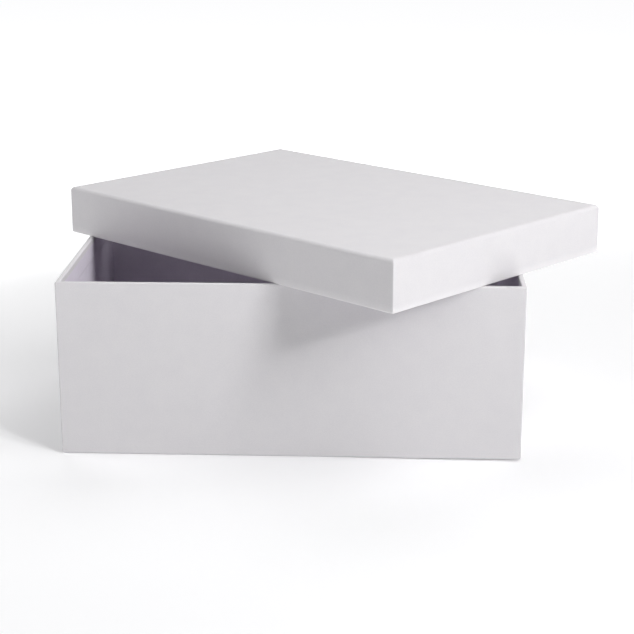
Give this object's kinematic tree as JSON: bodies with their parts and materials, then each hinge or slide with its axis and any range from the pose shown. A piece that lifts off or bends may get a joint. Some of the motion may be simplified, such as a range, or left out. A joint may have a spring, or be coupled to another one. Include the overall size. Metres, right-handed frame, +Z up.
{
  "type": "archival box",
  "caption": "Rigid paper-covered document box: an open tray with a separate shallow lift-off lid lying askew on its rim.",
  "frame": {"origin": "middle of the underside of the tray, on the surface that the box stands on", "axes": "+Z up, out of the tray's mouth; +X along the tray's length; +Y along the tray's depth, towards its back"},
  "size_m": [0.4068, 0.3978, 0.1646],
  "materials": {
    "covering_paper": "matte",
    "lining_paper": "matte",
    "greyboard": "matte",
    "gummed_tape": "matte"
  },
  "bodies": {
    "tray": {"tray_back_board": "greyboard", "tray_base_board": "greyboard", "tray_base_sheet": "covering_paper", "tray_cover": "covering_paper", "tray_floor_lining": "lining_paper", "tray_front_board": "greyboard", "tray_left_board": "greyboard", "tray_right_board": "greyboard", "tray_stay_back_left": "gummed_tape", "tray_stay_back_right": "gummed_tape", "tray_stay_front_left": "gummed_tape", "tray_stay_front_right": "gummed_tape", "tray_wall_lining": "lining_paper"},
    "lid": {"lid_back_board": "greyboard", "lid_cover": "covering_paper", "lid_front_board": "greyboard", "lid_left_board": "greyboard", "lid_right_board": "greyboard", "lid_stay_back_left": "gummed_tape", "lid_stay_back_right": "gummed_tape", "lid_stay_front_left": "gummed_tape", "lid_stay_front_right": "gummed_tape", "lid_top_board": "greyboard", "lid_top_lining": "lining_paper", "lid_wall_lining": "lining_paper"}
  },
  "joints": [
    {"name": "lid_lift", "type": "slide", "parent": "tray", "child": "lid", "axis": [0, 0, 1], "range_m": [0, 0.15]}
  ]
}
